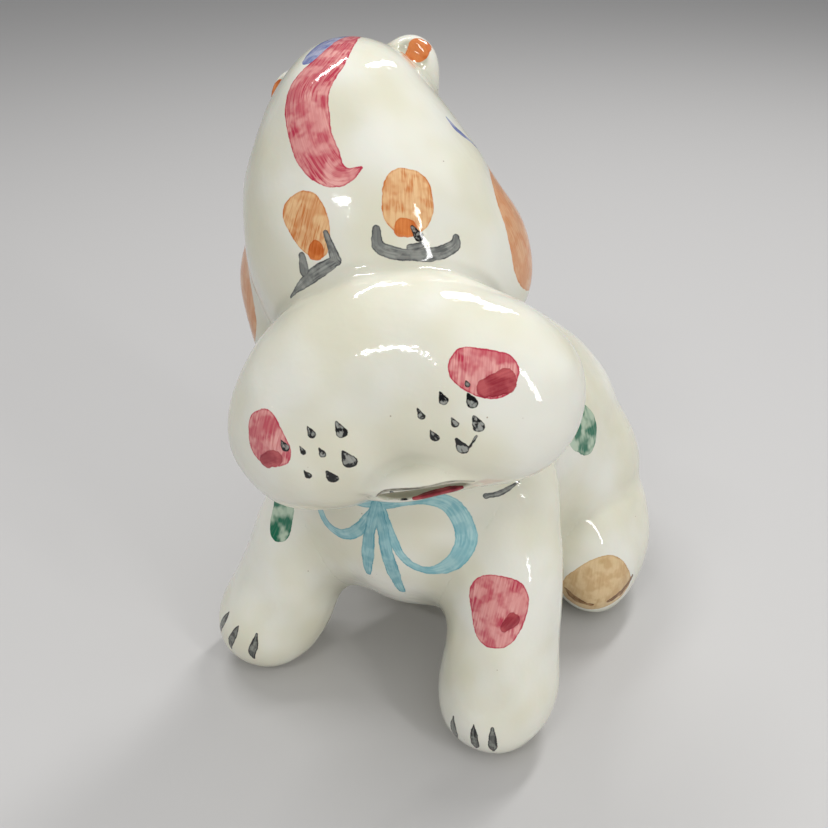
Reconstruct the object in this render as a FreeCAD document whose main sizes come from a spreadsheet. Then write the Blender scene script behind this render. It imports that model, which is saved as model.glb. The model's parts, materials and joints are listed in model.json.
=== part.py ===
import FreeCAD, Part

import math
import os

import Sketcher

# Figural coin bank: a hollow, glazed, hand-painted ceramic animal that sits on its rump with its
# forelegs planted, its heavy head thrown back and cocked to one side, and its muzzle in the air.
# Coins go in through a slot in its back and come out through a rubber stopper in its base.
#
# The figure is slip-cast in pieces that are joined with slip ("luted") before firing. Each casting
# is a solid of its own: its outside is a union of ellipsoid masses, its cavity is the same masses
# with the wall taken off their radii, and a neighbour's outside is cut away where the two meet.
#
# Frame: millimetres, +Z up, the animal faces -Y and its left side is +X. The origin is on the
# table, under the middle of the figure.

# Driving dimensions: alias, value, what it is. Angles are in degrees, the rest in millimetres.
DIMENSIONS = (
    ("torso_width", 78, "belly, side to side: every torso and limb mass is a share of it"),
    ("head_width", 72, "skull, side to side: every head mass is a share of it"),
    ("stance_shift", -4.7, "moves the figure along Y, so that the origin is under its middle"),
    ("wall", 4.5, "thickness of the cast clay"),
    ("seam", 0.05, "slip line left between two castings"),
    ("head_side", -6, "skull centre, from the middle plane of the body"),
    ("head_front", -24, "skull centre, front to back, before the stance shift"),
    ("head_height", 136, "skull centre, above the table"),
    ("head_turn", 20, "head turned to the animal's left, about Z"),
    ("head_tilt", -17, "head cocked, left side up, about the nose line"),
    ("head_nod", -20, "head thrown back, about the ear line"),
    ("slot_length", 36, "coin slot, along the back"),
    ("slot_width", 5, "coin slot, across"),
    ("slot_place", 36, "middle of the coin slot, front to back, before the stance shift"),
    ("slot_bottom", 74, "height at which the slot's cut starts, inside the cavity"),
    ("neck_hole", 12, "radius of the opening between the torso's cavity and the head's"),
    ("vent", 2, "radius of the air vents from the torso's cavity into each limb's"),
    ("plug_place", 40, "stopper's axis, front to back, before the stance shift"),
    ("recess_radius", 20, "dish in the base round the stopper"),
    ("recess_depth", 8, "dish in the base, above the table"),
    ("hole_radius", 13, "hole for the stopper"),
    ("plug_play", 0.05, "clearance of the stopper's ribs in the hole, and of its flange"),
    ("flange_radius", 17, "stopper's flange"),
    ("flange_height", 3, "stopper's flange"),
    ("barrel_height", 11, "stopper's barrel, above the flange"),
    ("barrel_taper", 2, "how much the barrel's end narrows, on the radius"),
    ("cup_radius", 8.5, "hollow of the stopper's barrel"),
    ("cup_floor", 2.5, "rubber left under the hollow, above the flange"),
    ("rib_height", 2.4, "sealing ribs of the stopper: one in the hole, one inside the bank"),
    ("groove_depth", 0.6, "groove between the stopper's ribs"),
    ("grip_length", 18, "pull tab under the stopper"),
    ("grip_thickness", 4, "pull tab under the stopper"),
    ("grip_height", 3.5, "pull tab under the stopper"),
    ("grip_round", 1.5, "radius of the pull tab's corners"),
)

# Masses: centre (x, y, z), half-axes (x, y, z) and, where it leans, its (yaw, pitch, roll).
# Torso and limbs are in shares of torso_width, from the origin, before the stance shift.
TORSO = {
    "chest": ((0, -0.22, 0.87), (0.46, 0.435, 0.565)),
    "neck": ((0, -0.15, 1.27), (0.345, 0.36, 0.40)),
    "belly": ((0, 0.28, 0.745), (0.50, 0.565, 0.55)),
    "rump": ((0, 0.60, 0.59), (0.595, 0.525, 0.54)),
    "seat": ((0, 0.51, 0.25), (0.53, 0.545, 0.32)),
}
LEFT_FORELEG = {
    "shoulder": ((0.445, -0.375, 0.68), (0.18, 0.185, 0.42), (0, -5, -22)),
    "shin": ((0.475, -0.46, 0.40), (0.175, 0.185, 0.33), (0, -5, -22)),
    "paw": ((0.485, -0.55, 0.18), (0.20, 0.235, 0.192)),
}
RIGHT_FORELEG = {
    "shoulder": ((-0.375, -0.375, 0.68), (0.18, 0.185, 0.42), (0, 14, -22)),
    "shin": ((-0.46, -0.45, 0.40), (0.18, 0.185, 0.33), (0, 14, -22)),
    "paw": ((-0.525, -0.53, 0.18), (0.20, 0.235, 0.192)),
}
HIND_LEG = {
    "thigh": ((0.54, 0.54, 0.39), (0.235, 0.32, 0.31)),
    "foot": ((0.60, 0.385, 0.19), (0.18, 0.27, 0.20), (8, 0, 0)),
}
TAIL = {"tail": ((0, 1.12, 0.53), (0.065, 0.09, 0.15), (0, 0, 12))}

# Head masses are in shares of head_width, in the head's own frame: it faces -Y, its crown is +Z.
# Two of them are given a quarter turn, which buries their surfaces' seam lines in the skull.
HEAD = {
    "crown": ((-0.025, 0.015, 0.475), (0.33, 0.37, 0.35)),
    "brow": ((-0.045, -0.015, 0.24), (0.385, 0.40, 0.40)),
    "skull": ((0, -0.04, 0.0), (0.475, 0.45, 0.50)),
    "left_cheek": ((0.335, 0.08, -0.045), (0.185, 0.24, 0.29)),
    "right_cheek": ((-0.425, 0.10, -0.11), (0.24, 0.19, 0.34), (90, 0, 0)),
    "bridge": ((0, -0.375, -0.32), (0.32, 0.415, 0.335), (90, 0, 0)),
    "left_lobe": ((0.315, -0.39, -0.515), (0.325, 0.29, 0.30)),
    "right_lobe": ((-0.285, -0.39, -0.48), (0.325, 0.29, 0.305)),
}
JAW = {"jaw": ((0, -0.28, -0.69), (0.305, 0.305, 0.115))}
JAW_DISH = {"jaw_dish": ((0, -0.36, -0.63), (0.23, 0.22, 0.08))}
EAR = {"ear": ((0.215, 0.18, 0.67), (0.115, 0.085, 0.135), (0, 12, 0))}
EAR_DISH = {"ear_dish": ((0.22, 0.085, 0.70), (0.075, 0.06, 0.09), (0, 12, 0))}

# Air vents run side to side through the torso's wall: (y, z, half length), shares of torso_width.
VENTS = {"foreleg_vent": (-0.40, 0.64, 0.43), "hind_leg_vent": (0.56, 0.45, 0.58)}

# The neck opening starts at this height, a share of torso_width.
NECK_OPENING_UP = 1.1

AS_GIVEN = 1
MIRRORED = -1
TABLE_WIDTH = 400
STRAIGHT = "rotation(0; 0; 0)"
SIDEWAYS = "rotation(0; 90; 0)"
PLUG_AXIS = "vector(0; dims.plug_place + dims.stance_shift; 0)"

document = FreeCAD.newDocument("coin_bank")


def make_sheet():
    """The spreadsheet of driving dimensions. Its aliases are what every expression reads."""
    sheet = document.addObject("Spreadsheet::Sheet", "dims")
    for row, (alias, value, meaning) in enumerate(DIMENSIONS, start=1):
        sheet.set(f"A{row}", alias)
        sheet.set(f"B{row}", str(value))
        sheet.set(f"C{row}", meaning)
        sheet.setAlias(f"B{row}", alias)
    document.recompute()


def make_head_frame():
    """The head's own frame: the whole head moves and turns with six cells."""
    frame = document.addObject("Part::LocalCoordinateSystem", "head_frame")
    place = "vector(dims.head_side; dims.head_front + dims.stance_shift; dims.head_height)"
    turn = "rotation(dims.head_turn; dims.head_tilt; dims.head_nod)"
    frame.setExpression("Placement", f"placement({place}; {turn})")


# ---- primitives ----


def mass(name, unit, shape, grow="0", side=AS_GIVEN):
    """One ellipsoid. Its shares multiply the cell unit, and MIRRORED puts it on the other side."""
    centre, radii, *lean = shape
    yaw, pitch, roll = lean[0] if lean else (0, 0, 0)
    item = document.addObject("Part::Ellipsoid", name)
    for radius, share in zip(("Radius2", "Radius3", "Radius1"), radii):
        item.setExpression(radius, f"dims.{unit} * {share} + ({grow})")
    across = f"dims.{unit} * {side * centre[0]}"
    back = f"dims.{unit} * {centre[1]}"
    up = f"dims.{unit} * {centre[2]}"
    turn = f"rotation({side * yaw}; {side * pitch}; {roll})"
    if unit == "head_width":
        place = f"head_frame.Placement * placement(vector({across}; {back}; {up}); {turn})"
    else:
        place = f"placement(vector({across}; {back} + dims.stance_shift; {up}); {turn})"
    item.setExpression("Placement", place)
    return item


def masses(group, name, unit="torso_width", grow="0", side=AS_GIVEN):
    """The union of a group's masses, grown or shrunk by an expression."""
    items = [
        mass(f"{name}_{part}", unit, shape, grow=grow, side=side)
        for part, shape in group.items()
    ]
    if len(items) == 1:
        return items[0]
    union = document.addObject("Part::MultiFuse", name)
    union.Shapes = items
    return union


def cylinder(name, radius, height, place):
    """A cylinder along its placement's own Z. radius, height and place are expressions."""
    item = document.addObject("Part::Cylinder", name)
    item.setExpression("Radius", radius)
    item.setExpression("Height", height)
    item.setExpression("Placement", place)
    return item


def slab(name, height, bottom):
    """A slab wider than the figure. height and bottom are expressions."""
    item = document.addObject("Part::Box", name)
    item.Length = TABLE_WIDTH
    item.Width = TABLE_WIDTH
    item.setExpression("Height", height)
    corner = f"vector({-TABLE_WIDTH / 2}; {-TABLE_WIDTH / 2}; {bottom})"
    item.setExpression("Placement", f"placement({corner}; {STRAIGHT})")
    return item


def cut(name, base, *tools):
    """base with every tool taken away in turn."""
    for count, tool in enumerate(tools, start=1):
        result = document.addObject("Part::Cut", name if count == len(tools) else f"{name}_{count}")
        result.Base = base
        result.Tool = tool
        base = result
    return base


# ---- sketches ----


def sketch_on(body, name, role):
    """A sketch attached to one of the body's own origin planes."""
    sketch = body.newObject("Sketcher::SketchObject", name)
    plane = next(item for item in body.Origin.OriginFeatures if item.Role == role)
    sketch.AttachmentSupport = [(plane, "")]
    sketch.MapMode = "FlatFace"
    return sketch


def hold(sketch, name, expression, kind, *geometry):
    """A named constraint whose value is bound to the sheet."""
    index = sketch.addConstraint(Sketcher.Constraint(kind, *geometry, 1.0))
    sketch.renameConstraint(index, name)
    sketch.setExpression(f"Constraints.{name}", expression)


def outline(sketch, corners):
    """A closed outline of straight lines. corners holds each corner's (x, y) expressions."""
    count = len(corners)
    # The corners start on a ring, and the constraints pull each one to its place.
    spread = 20
    start = [
        FreeCAD.Vector(
            spread * (2 + math.cos(2 * math.pi * step / count)),
            spread * (2 + math.sin(2 * math.pi * step / count)),
            0,
        )
        for step in range(count)
    ]
    for step in range(count):
        sketch.addGeometry(Part.LineSegment(start[step], start[(step + 1) % count]))
    for line in range(count):
        sketch.addConstraint(Sketcher.Constraint("Coincident", line, 2, (line + 1) % count, 1))
    for line, (across, up) in enumerate(corners):
        if across == "0":
            sketch.addConstraint(Sketcher.Constraint("PointOnObject", line, 1, -2))
        else:
            hold(sketch, f"across_{line}", across, "DistanceX", -1, 1, line, 1)
        hold(sketch, f"up_{line}", up, "DistanceY", -1, 1, line, 1)


def make_slot_cutter():
    """The coin slot's cut: a long hole with round ends, standing up through the back."""
    body = document.addObject("PartDesign::Body", "slot_cutter")
    sketch = sketch_on(body, "slot_outline", "XY_Plane")
    # Only a starting size: the constraints below pull the outline to the sheet's sizes.
    reach = 15
    half = 3
    up = FreeCAD.Vector(0, 0, 1)
    back_end = Part.Circle(FreeCAD.Vector(0, reach, 0), up, half)
    front_end = Part.Circle(FreeCAD.Vector(0, -reach, 0), up, half)
    right_corners = (FreeCAD.Vector(-half, -reach, 0), FreeCAD.Vector(-half, reach, 0))
    left_corners = (FreeCAD.Vector(half, reach, 0), FreeCAD.Vector(half, -reach, 0))
    sketch.addGeometry(Part.LineSegment(*right_corners))
    sketch.addGeometry(Part.ArcOfCircle(back_end, 0, math.pi))
    sketch.addGeometry(Part.LineSegment(*left_corners))
    sketch.addGeometry(Part.ArcOfCircle(front_end, math.pi, 2 * math.pi))
    for joined_ends in ((0, 2, 1, 2), (1, 1, 2, 1), (2, 2, 3, 2), (3, 1, 0, 1)):
        sketch.addConstraint(Sketcher.Constraint("Tangent", *joined_ends))
    sketch.addConstraint(Sketcher.Constraint("Vertical", 0))
    sketch.addConstraint(Sketcher.Constraint("Equal", 1, 3))
    sketch.addConstraint(Sketcher.Constraint("Symmetric", 1, 3, 3, 3, -1, 1))
    hold(sketch, "end_radius", "dims.slot_width / 2", "Radius", 1)
    hold(sketch, "end_place", "(dims.slot_length - dims.slot_width) / 2", "DistanceY", -1, 1, 1, 3)
    pad = body.newObject("PartDesign::Pad", "slot_rise")
    pad.Profile = sketch
    pad.setExpression("Length", "dims.torso_width")
    sketch.Visibility = False
    body.Tip = pad
    start = "vector(0; dims.slot_place + dims.stance_shift; dims.slot_bottom)"
    body.setExpression("Placement", f"placement({start}; {STRAIGHT})")
    return body


# ---- sub-parts ----


def make_torso(torso_outer, head_grown, table, floor):
    """The torso casting: chest, neck collar, belly and rump, with the coin slot and the base."""
    inner = masses(TORSO, "torso_inner", grow="-1 * dims.wall")
    boss = cylinder(
        "recess_boss",
        "dims.recess_radius + dims.wall",
        "dims.recess_depth + dims.wall",
        f"placement({PLUG_AXIS}; {STRAIGHT})",
    )
    cavity = cut("torso_cavity", inner, floor, boss)
    recess = cylinder(
        "base_recess",
        "dims.recess_radius",
        "dims.recess_depth",
        f"placement({PLUG_AXIS}; {STRAIGHT})",
    )
    hole = cylinder(
        "stopper_hole",
        "dims.hole_radius",
        "dims.recess_depth + 2 * dims.wall",
        f"placement({PLUG_AXIS}; {STRAIGHT})",
    )
    vents = [
        cylinder(
            name,
            "dims.vent",
            f"dims.torso_width * {2 * half_length}",
            f"placement(vector(dims.torso_width * {-half_length};"
            f" dims.torso_width * {back} + dims.stance_shift; dims.torso_width * {up}); {SIDEWAYS})",
        )
        for name, (back, up, half_length) in VENTS.items()
    ]
    return cut(
        "torso_shell", torso_outer, table, cavity, head_grown, recess, hole, make_slot_cutter(), *vents
    )


def make_head(head_outer):
    """The head casting: crown, skull, cheeks and the two-lobed muzzle, open at the neck."""
    inner = masses(HEAD, "head_inner", unit="head_width", grow="-1 * dims.wall")
    neck_back = TORSO["neck"][0][1]
    neck_hole = cylinder(
        "neck_opening",
        "dims.neck_hole",
        f"dims.head_height - dims.torso_width * {NECK_OPENING_UP}",
        f"placement(vector(0; dims.torso_width * {neck_back} + dims.stance_shift;"
        f" dims.torso_width * {NECK_OPENING_UP}); {STRAIGHT})",
    )
    return cut("head_shell", head_outer, inner, neck_hole)


def make_limb(name, group, side, torso_grown, table, floor):
    """A hollow limb casting, open where it is joined to the torso."""
    outer = masses(group, f"{name}_outer", side=side)
    inner = masses(group, f"{name}_inner", grow="-1 * dims.wall", side=side)
    cavity = cut(f"{name}_cavity", inner, floor)
    return cut(name, outer, table, cavity, torso_grown)


def make_ear(name, side, head_grown):
    """A solid ear, pressed onto the crown and dished on its front."""
    outer = masses(EAR, f"{name}_outer", unit="head_width", side=side)
    dish = masses(EAR_DISH, f"{name}_dish", unit="head_width", side=side)
    return cut(name, outer, dish, head_grown)


def make_jaw(head_grown, torso_grown):
    """The solid lower jaw between the muzzle and the neck, dished where the tongue lies."""
    outer = masses(JAW, "lower_jaw_outer", unit="head_width")
    dish = masses(JAW_DISH, "lower_jaw_dish", unit="head_width")
    return cut("lower_jaw", outer, dish, head_grown, torso_grown)


def make_tail(torso_grown):
    """The solid tail, pressed onto the rump."""
    return cut("tail", masses(TAIL, "tail_outer"), torso_grown)


def make_stopper():
    """The rubber stopper: flange, hollow ribbed barrel and a pull tab, turned about its axis."""
    flange = "dims.recess_depth - dims.plug_play"
    rib = "dims.hole_radius - dims.plug_play"
    groove = f"{rib} - dims.groove_depth"
    tip = f"{flange} + dims.barrel_height"
    body = document.addObject("PartDesign::Body", "stopper")
    profile = sketch_on(body, "stopper_profile", "XZ_Plane")
    outline(
        profile,
        (
            ("0", f"{flange} - dims.flange_height"),
            ("dims.flange_radius", f"{flange} - dims.flange_height"),
            ("dims.flange_radius", flange),
            (rib, flange),
            (rib, f"{flange} + dims.rib_height"),
            (groove, f"{flange} + dims.rib_height + dims.groove_depth"),
            (groove, f"{flange} + 2 * dims.rib_height - dims.groove_depth"),
            (rib, f"{flange} + 2 * dims.rib_height"),
            (rib, f"{flange} + 3 * dims.rib_height"),
            (f"{rib} - dims.barrel_taper", tip),
            ("dims.cup_radius", tip),
            ("dims.cup_radius", f"{flange} + dims.cup_floor"),
            ("0", f"{flange} + dims.cup_floor"),
        ),
    )
    turned = body.newObject("PartDesign::Revolution", "stopper_turned")
    turned.Profile = profile
    turned.ReferenceAxis = (profile, ["V_Axis"])
    turned.Angle = 360
    tab = sketch_on(body, "tab_profile", "XZ_Plane")
    grip_top = f"{flange} - dims.flange_height / 2"
    grip_bottom = f"{flange} - dims.flange_height - dims.grip_height"
    outline(
        tab,
        (
            ("dims.grip_length / -2", grip_bottom),
            ("dims.grip_length / 2", grip_bottom),
            ("dims.grip_length / 2", grip_top),
            ("dims.grip_length / -2", grip_top),
        ),
    )
    grip = body.newObject("PartDesign::Pad", "stopper_grip")
    grip.Profile = tab
    grip.Midplane = True
    grip.setExpression("Length", "dims.grip_thickness")
    body.Tip = grip
    document.recompute()
    lowest = grip.Shape.BoundBox.ZMin
    corners = [
        f"Edge{number}"
        for number, edge in enumerate(grip.Shape.Edges, start=1)
        if edge.BoundBox.ZMax < lowest + 0.01
    ]
    rounding = body.newObject("PartDesign::Fillet", "stopper_grip_rounding")
    rounding.Base = (grip, corners)
    rounding.setExpression("Radius", "dims.grip_round")
    body.Tip = rounding
    body.setExpression("Placement", f"placement({PLUG_AXIS}; {STRAIGHT})")
    return body


def build():
    """Every sub-part, by node name."""
    make_sheet()
    make_head_frame()
    torso_outer = masses(TORSO, "torso_outer")
    torso_grown = masses(TORSO, "torso_grown", grow="dims.seam")
    head_outer = masses(HEAD, "head_outer", unit="head_width")
    head_grown = masses(HEAD, "head_grown", unit="head_width", grow="dims.seam")
    table = slab("table", "dims.torso_width", "-1 * dims.torso_width")
    floor = slab("floor_clay", "dims.torso_width", "dims.wall - dims.torso_width")
    return {
        "torso_shell": make_torso(torso_outer, head_grown, table, floor),
        "head_shell": make_head(head_outer),
        "lower_jaw": make_jaw(head_grown, torso_grown),
        "left_ear": make_ear("left_ear", AS_GIVEN, head_grown),
        "right_ear": make_ear("right_ear", MIRRORED, head_grown),
        "left_foreleg": make_limb("left_foreleg", LEFT_FORELEG, AS_GIVEN, torso_grown, table, floor),
        "right_foreleg": make_limb("right_foreleg", RIGHT_FORELEG, AS_GIVEN, torso_grown, table, floor),
        "left_hind_leg": make_limb("left_hind_leg", HIND_LEG, AS_GIVEN, torso_grown, table, floor),
        "right_hind_leg": make_limb("right_hind_leg", HIND_LEG, MIRRORED, torso_grown, table, floor),
        "tail": make_tail(torso_grown),
        "stopper": make_stopper(),
    }


def check_and_write(parts):
    """Stops on any failed object or bad shape, then writes one STEP file for each sub-part."""
    document.recompute()
    failed = [item.Name for item in document.Objects if {"Invalid", "Error"} & set(item.State)]
    if failed:
        raise RuntimeError(f"these objects did not compute: {failed}")
    sketches = [item for item in document.Objects if item.TypeId == "Sketcher::SketchObject"]
    loose = [sketch.Name for sketch in sketches if not sketch.FullyConstrained]
    if loose:
        raise RuntimeError(f"these sketches can still move: {loose}")
    os.makedirs("parts", exist_ok=True)
    for node, item in parts.items():
        item.Label = node
        shape = item.Shape
        if shape.isNull() or not shape.isValid() or len(shape.Solids) != 1:
            raise RuntimeError(f"{node} is not one valid solid")
        shape.exportStep(f"parts/{node}.step")


check_and_write(build())
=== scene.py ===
import json
import math

import bmesh
import bpy
import numpy as np
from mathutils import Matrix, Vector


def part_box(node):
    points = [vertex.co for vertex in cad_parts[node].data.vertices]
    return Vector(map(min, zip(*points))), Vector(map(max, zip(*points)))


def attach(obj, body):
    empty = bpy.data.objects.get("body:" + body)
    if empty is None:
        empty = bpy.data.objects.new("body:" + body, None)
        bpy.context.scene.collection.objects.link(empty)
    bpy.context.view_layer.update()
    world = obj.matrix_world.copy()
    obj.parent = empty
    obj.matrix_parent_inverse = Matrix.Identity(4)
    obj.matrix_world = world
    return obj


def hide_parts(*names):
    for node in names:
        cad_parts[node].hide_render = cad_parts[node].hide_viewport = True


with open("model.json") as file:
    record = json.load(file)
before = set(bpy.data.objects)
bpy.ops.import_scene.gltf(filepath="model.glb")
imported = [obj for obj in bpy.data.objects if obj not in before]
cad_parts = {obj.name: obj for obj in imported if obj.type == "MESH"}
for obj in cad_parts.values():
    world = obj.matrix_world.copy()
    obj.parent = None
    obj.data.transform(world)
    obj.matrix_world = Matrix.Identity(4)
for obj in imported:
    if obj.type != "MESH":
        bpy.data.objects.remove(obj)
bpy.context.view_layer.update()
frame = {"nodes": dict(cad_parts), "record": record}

import openvdb
from mathutils import Vector

# The figure's skin is one smooth field: ellipsoid masses, in shares of the torso's or the head's
# width, melt into each other. Each casting is the part of that field nearest its own masses,
# meshed, hollowed and drawn exactly onto the field, so that the seams between castings don't show.
# Field lengths are millimetres; meshes are metres.

MM = 0.001
TINY = 1e-6

# Meshing: grid spacing, its band in voxels, room round a casting's box, grid points read at once,
# times that faces at a mark's edge are split, and what keeps a step finite where a field is flat.
VOXEL = 0.9
BAND = 4
SAMPLE_MARGIN = 13
POINTS_AT_ONCE = 400000
SPLITS = 2
LEAST_SLOPE = 0.2

# The clay: its wall, how far a casting runs past its seam, and how fast its surface sinks there.
WALL = 4.5
OVERLAP = 0.6
SEAM_SINK = 0.15

# Fillets between masses.
TORSO_FILLET = 22
LEG_FILLET = 14
HAUNCH_FILLET = 10
SKULL_FILLET = 14
MUZZLE_FILLET = 15
SMALL_FILLET = 5
CREASE_FILLET = 2.5

# Rounded edges of what is cut away.
EAR_ROUND = 1.5
MOUTH_ROUND = 0.8
FOOT_ROUND = 3
RECESS_ROUND = 1.6
SLOT_ROUND = 2.0

# Openings in the torso.
RECESS_RADIUS = 20
RECESS_DEPTH = 8
HOLE_RADIUS = 13
HOLE_TOP = 16
SLOT_LENGTH = 36
SLOT_WIDTH = 5
SLOT_BOTTOM = 70

# Unevenness of the skin, the mould ridges down the forelegs and the lip round the mouth.
WAVE_SEED = 7
WAVE_COUNT = 10
WAVE_LENGTHS = (14, 34)
WAVE_HEIGHT = 0.09
RIDGE_HEIGHT = 0.25
RIDGE_WIDTH = 1.1
RIDGE_REACH = 4
LIP_HEIGHT = 0.4
LIP_PLACE = 1.3
LIP_WIDTH = 0.9

# Paint: how deep it is read, the zone round a mark's edge that gets finer faces, room round a
# mark, the depth that means no mark, and how far apart the streaks of two marks are drawn.
PAINT_DEPTH = 1.5
EDGE_ZONE = 0.9
MARK_MARGIN = 7
FAR = 9.0
STREAK_SHIFT = 37

# Egg-shaped marks: the way up, how square they are (2 is an ellipse), how uneven their outline
# is, and how far the skin may turn away before the mark stops.
EGG_UPRIGHT = np.array([0.12, 0, 1])
EGG_SQUARENESS = 2.4
EGG_UNEVENNESS = 0.045
EGG_TURNED_AWAY = 0.1

# How far above the skin a crease is felt, for the shade painted into creases.
CREASE_REACH = 3.0

# ---- masses, anchored on the CAD castings' boxes ----

# The boxes in shares of the torso's or the skull's width: how wide each is, how far back the
# torso's reaches, and where the skull's centre lies from the middle of the head's.
TORSO_SPAN = 1.19
TORSO_BACK = 1.125
HEAD_SPAN = 1.468
SKULL_PLACE = np.array([-0.151, 0.188, -0.036])

torso_low, torso_high = (np.array(corner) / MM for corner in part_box("torso_shell"))
head_low, head_high = (np.array(corner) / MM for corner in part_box("head_shell"))
stopper_low, stopper_high = (np.array(corner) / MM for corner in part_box("stopper"))

TORSO_UNIT = (torso_high[0] - torso_low[0]) / TORSO_SPAN
TORSO_ORIGIN = np.array([0, torso_high[1] - TORSO_BACK * TORSO_UNIT, 0])
HEAD_UNIT = (head_high[0] - head_low[0]) / HEAD_SPAN
HEAD_ORIGIN = (head_low + head_high) / 2 + HEAD_UNIT * SKULL_PLACE
PLUG_CENTRE = (stopper_low + stopper_high)[:2] / 2
openings = {item["name"]: item["box_m"] for item in frame["record"]["physics"]["openings"]}
SLOT_MIDDLE = (np.array(openings["coin_slot"]) / MM).mean(axis=0)[1]


def turned(yaw, pitch, roll):
    """Rotation matrix: roll about X, then pitch about Y, then yaw about Z, in degrees."""
    cz, cy, cx = (math.cos(math.radians(angle)) for angle in (yaw, pitch, roll))
    sz, sy, sx = (math.sin(math.radians(angle)) for angle in (yaw, pitch, roll))
    about_z = np.array([[cz, -sz, 0], [sz, cz, 0], [0, 0, 1]])
    about_y = np.array([[cy, 0, sy], [0, 1, 0], [-sy, 0, cy]])
    about_x = np.array([[1, 0, 0], [0, cx, -sx], [0, sx, cx]])
    return about_z @ about_y @ about_x


HEAD_TURN = turned(yaw=20, pitch=-17, roll=-20)


def torso_mass(centre, radii, lean=(0, 0, 0), side=1):
    """An ellipsoid of the torso or a limb: its centre, half-axes and turn, in millimetres."""
    centre = np.array([side * centre[0], centre[1], centre[2]])
    turn = turned(side * lean[0], side * lean[1], lean[2])
    return TORSO_ORIGIN + TORSO_UNIT * centre, TORSO_UNIT * np.array(radii), turn


def head_mass(centre, radii, lean=(0, 0, 0), side=1):
    """An ellipsoid of the head, given in the head's own frame."""
    centre = np.array([side * centre[0], centre[1], centre[2]])
    turn = turned(side * lean[0], side * lean[1], lean[2])
    return HEAD_ORIGIN + HEAD_TURN @ (HEAD_UNIT * centre), HEAD_UNIT * np.array(radii), HEAD_TURN @ turn


def ellipsoid(points, mass):
    """Signed distance to an ellipsoid, close near its surface."""
    centre, radii, turn = mass
    local = (points - centre.astype(points.dtype)) @ turn.astype(points.dtype)
    scaled = local / radii.astype(points.dtype)
    length = np.sqrt(np.einsum("ij,ij->i", scaled, scaled))
    scaled /= radii.astype(points.dtype)
    slope = np.sqrt(np.einsum("ij,ij->i", scaled, scaled))
    return length * (length - 1) / np.maximum(slope, TINY)


def melt(first, second, width):
    """Union of two fields with a fillet. width is how far the fillet reaches."""
    touch = np.maximum(width - np.abs(first - second), 0) / width
    return np.minimum(first, second) - touch * touch * width / 4


def carve(first, second, width):
    """Intersection of two fields with a rounded edge."""
    return -melt(-first, -second, width)


def melted(points, masses, width):
    """Several ellipsoids melted together."""
    result = ellipsoid(points, masses[0])
    for mass in masses[1:]:
        result = melt(result, ellipsoid(points, mass), width)
    return result


TORSO = [
    torso_mass((0, -0.22, 0.87), (0.46, 0.435, 0.565)),
    torso_mass((0, 0.28, 0.745), (0.50, 0.565, 0.55)),
    torso_mass((0, 0.60, 0.59), (0.595, 0.525, 0.54)),
    torso_mass((0, 0.51, 0.25), (0.53, 0.545, 0.32)),
    torso_mass((0, -0.15, 1.27), (0.345, 0.36, 0.40)),
]
SKULL = [
    head_mass((0.008, 0.015, 0.475), (0.30, 0.37, 0.35)),
    head_mass((-0.05, -0.015, 0.24), (0.395, 0.40, 0.40)),
    head_mass((0, -0.04, 0.0), (0.475, 0.45, 0.50)),
]
CHEEKS = [
    head_mass((0.335, 0.08, -0.045), (0.185, 0.24, 0.29)),
    head_mass((-0.425, 0.10, -0.08), (0.19, 0.24, 0.365)),
]
MUZZLE = [
    head_mass((0, -0.375, -0.32), (0.415, 0.32, 0.335)),
    head_mass((0.315, -0.39, -0.515), (0.325, 0.29, 0.30)),
    head_mass((-0.285, -0.39, -0.48), (0.325, 0.29, 0.305)),
]
JAW = [head_mass((0.05, -0.34, -0.69), (0.26, 0.285, 0.118))]
MOUTH = head_mass((0.05, -0.55, -0.748), (0.150, 0.065, 0.025), (0, 5, 0))

LEFT_FORELEG = [
    torso_mass((0.445, -0.375, 0.68), (0.18, 0.185, 0.42), (0, -5, -22)),
    torso_mass((0.475, -0.46, 0.40), (0.175, 0.185, 0.33), (0, -5, -22)),
    torso_mass((0.485, -0.55, 0.18), (0.20, 0.235, 0.192)),
]
RIGHT_FORELEG = [
    torso_mass((-0.375, -0.375, 0.68), (0.18, 0.185, 0.42), (0, 14, -22)),
    torso_mass((-0.46, -0.45, 0.40), (0.18, 0.185, 0.33), (0, 14, -22)),
    torso_mass((-0.525, -0.53, 0.18), (0.20, 0.235, 0.192)),
]


def hind_leg_field(points, side):
    """A thigh bulging over the shank and foot, with a crease between them."""
    thigh = ellipsoid(points, torso_mass((0.44, 0.56, 0.53), (0.245, 0.36, 0.25), (0, 0, 0), side))
    lower = [
        torso_mass((0.53, 0.47, 0.33), (0.245, 0.36, 0.26), (0, 0, 0), side),
        torso_mass((0.60, 0.385, 0.19), (0.18, 0.27, 0.20), (8, 0, 0), side),
    ]
    return melt(thigh, melted(points, lower, HAUNCH_FILLET), CREASE_FILLET)


def ear_field(points, side):
    """A flat rounded ear with a dish pressed into its front."""
    flap = ellipsoid(points, head_mass((0.215, 0.18, 0.67), (0.115, 0.085, 0.135), (0, 12, 0), side))
    dish = ellipsoid(points, head_mass((0.255, 0.09, 0.715), (0.072, 0.055, 0.085), (0, 12, 0), side))
    return carve(flap, -dish, EAR_ROUND)


TAIL = [torso_mass((0, 1.12, 0.53), (0.065, 0.09, 0.15), (0, 0, 12))]


def head_field(points):
    """Crown, skull and cheeks, and the muzzle set off from them by a soft crease."""
    face = melted(points, SKULL, SKULL_FILLET)
    for cheek in CHEEKS:
        face = melt(face, ellipsoid(points, cheek), SMALL_FILLET)
    return melt(face, melted(points, MUZZLE, MUZZLE_FILLET), CREASE_FILLET)


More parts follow.
